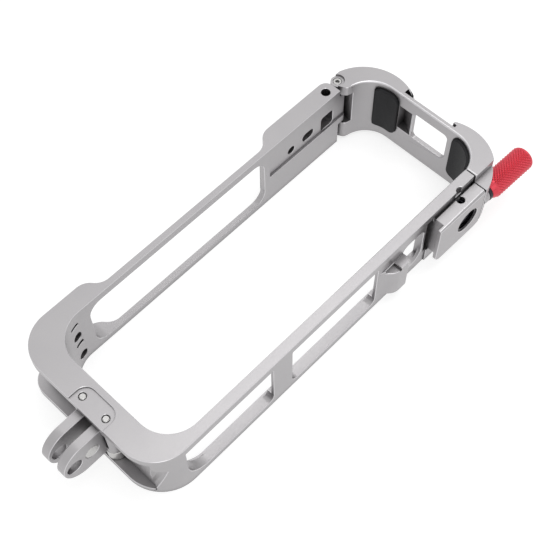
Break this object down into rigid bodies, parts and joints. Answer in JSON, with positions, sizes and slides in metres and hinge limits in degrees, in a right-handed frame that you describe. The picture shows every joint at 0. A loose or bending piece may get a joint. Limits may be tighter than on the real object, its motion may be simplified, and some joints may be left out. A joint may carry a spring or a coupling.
{
  "type": "action camera cage",
  "caption": "Rigid metal cage for a slim stick-shaped camera, with folding mount prongs, a hinged padded door, a threaded side insert and a knurled lock knob.",
  "frame": {"origin": "centre of the bolt bore through the two folding prongs", "axes": "+Y along the cage from the prongs to the door, +Z towards the front face, +X towards the rail with the lock block"},
  "size_m": [0.064, 0.1683, 0.026],
  "materials": {
    "alloy": "fine bead-blasted and clear anodised",
    "steel": "ground",
    "black_steel": "black oxide",
    "black_rubber": "matt",
    "black_plastic": "matt",
    "red_anodised": "red anodised, knurled"
  },
  "bodies": {
    "cage": {"frame": "alloy", "lock_block": "alloy", "block_screws": "steel", "set_screw": "steel", "tripod_insert": "black_steel", "keeper_magnets": "steel", "pivot_pins": "steel", "prong_washers": "steel", "spacer_sleeves": "steel", "hinge_screw": "steel"},
    "left_prong": {"prong_left": "alloy", "prong_magnet_left": "steel"},
    "right_prong": {"prong_right": "alloy", "prong_magnet_right": "steel"},
    "door": {"door": "alloy", "pad_left": "black_rubber", "pad_right": "black_rubber", "hinge_washers": "black_plastic"},
    "knob_washer": {"lock_washer": "black_steel"},
    "knob": {"lock_knob": "red_anodised", "lock_screw": "steel"}
  },
  "joints": [
    {"name": "left_prong_fold", "type": "hinge", "parent": "cage", "child": "left_prong", "pos_m": [-0.00465, 0.0131, 0], "axis": [0, 0, 1], "range_deg": [-90, 0]},
    {"name": "right_prong_fold", "type": "hinge", "parent": "cage", "child": "right_prong", "pos_m": [0.00465, 0.0131, 0], "axis": [0, 0, 1], "range_deg": [0, 90]},
    {"name": "door_swing", "type": "hinge", "parent": "cage", "child": "door", "pos_m": [-0.0279, 0.1397, 0], "axis": [0, 0, 1], "range_deg": [0, 110]},
    {"name": "knob_turn", "type": "hinge", "parent": "door", "child": "knob_washer", "pos_m": [0.02835, 0.1405, 0], "axis": [0.0349, 0.9994, 0], "range_deg": [0, 1262]},
    {"name": "knob_travel", "type": "slide", "parent": "knob_washer", "child": "knob", "axis": [0.0349, 0.9994, 0], "range_m": [0, 0.00245]}
  ],
  "couplings": [
    {"joint": "knob_turn", "follows": "knob_travel", "rad_per_m": 8976}
  ]
}
